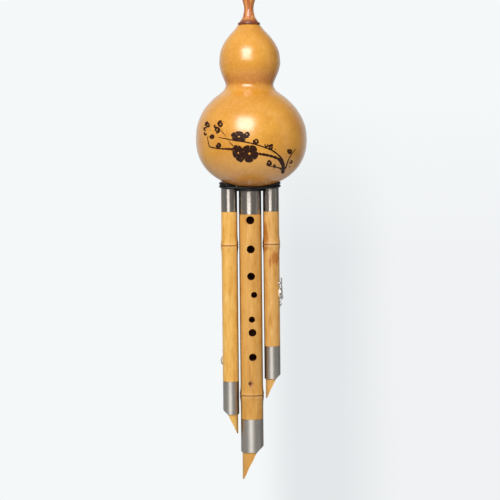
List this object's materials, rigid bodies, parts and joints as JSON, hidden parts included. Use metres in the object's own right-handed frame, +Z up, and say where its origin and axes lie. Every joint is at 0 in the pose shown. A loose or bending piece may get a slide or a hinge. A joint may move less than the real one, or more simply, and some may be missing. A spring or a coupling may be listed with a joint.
{
  "type": "hulusi gourd flute",
  "caption": "Gourd flute: a mouthpiece and gourd wind chamber feed a fingered bamboo melody pipe and two keyed drone pipes with free reeds.",
  "frame": {"origin": "centre of the mouthpiece's tip, on its bore axis", "axes": "+Z up along the instrument out of the mouthpiece's tip, -Y towards the front with the finger holes, +X towards the shorter drone pipe"},
  "size_m": [0.0997, 0.0998, 0.4436],
  "materials": {
    "gourd": "dried gourd under clear gloss lacquer",
    "rosewood": "turned and lacquered",
    "bamboo": "polished golden bamboo",
    "polished_steel": "polished",
    "satin_steel": "satin",
    "key_metal": "plated",
    "brass": "drawn tube",
    "reed_brass": "hammered sheet",
    "cork": "cork",
    "wax": "beeswax",
    "pad_leather": "thin cream leather over felt",
    "cord": "waxed black cord"
  },
  "bodies": {
    "root": {"gourd_shell": "gourd", "wax_bed": "wax", "binding_cord": "cord", "mouthpiece": "rosewood", "melody_pipe": "bamboo", "melody_upper_ferrule": "polished_steel", "melody_lower_ferrule": "satin_steel", "melody_reed_tube": "brass", "melody_reed": "reed_brass", "melody_reed_stopper": "cork", "left_drone_pipe": "bamboo", "left_drone_upper_ferrule": "polished_steel", "left_drone_lower_ferrule": "satin_steel", "left_drone_reed_tube": "brass", "left_drone_reed": "reed_brass", "left_drone_reed_stopper": "cork", "left_drone_end_plug": "cork", "right_drone_pipe": "bamboo", "right_drone_upper_ferrule": "polished_steel", "right_drone_lower_ferrule": "satin_steel", "right_drone_reed_tube": "brass", "right_drone_reed": "reed_brass", "right_drone_reed_stopper": "cork", "right_drone_end_plug": "cork", "left_key_front_post": "key_metal", "left_key_back_post": "key_metal", "left_key_pin": "key_metal", "left_key_spring": "key_metal", "left_key_spring_screw": "key_metal", "right_key_front_post": "key_metal", "right_key_back_post": "key_metal", "right_key_pin": "key_metal", "right_key_spring": "key_metal", "right_key_spring_screw": "key_metal"},
    "left_key": {"left_key_lever": "key_metal", "left_key_pad": "pad_leather"},
    "right_key": {"right_key_lever": "key_metal", "right_key_pad": "pad_leather"}
  },
  "joints": [
    {"name": "left_key_hinge", "type": "hinge", "parent": "root", "child": "left_key", "pos_m": [-0.02377, 0.007, -0.32761], "axis": [0.848, 0.5299, 0], "range_deg": [0, 8], "stiffness_Nm_per_rad": 0.02, "springref_deg": -8.59, "deforming": ["left_key_spring"]},
    {"name": "right_key_hinge", "type": "hinge", "parent": "root", "child": "right_key", "pos_m": [0.02627, -0.00172, -0.26641], "axis": [-0.2079, -0.9781, 0], "range_deg": [0, 8], "stiffness_Nm_per_rad": 0.02, "springref_deg": -8.59, "deforming": ["right_key_spring"]}
  ]
}
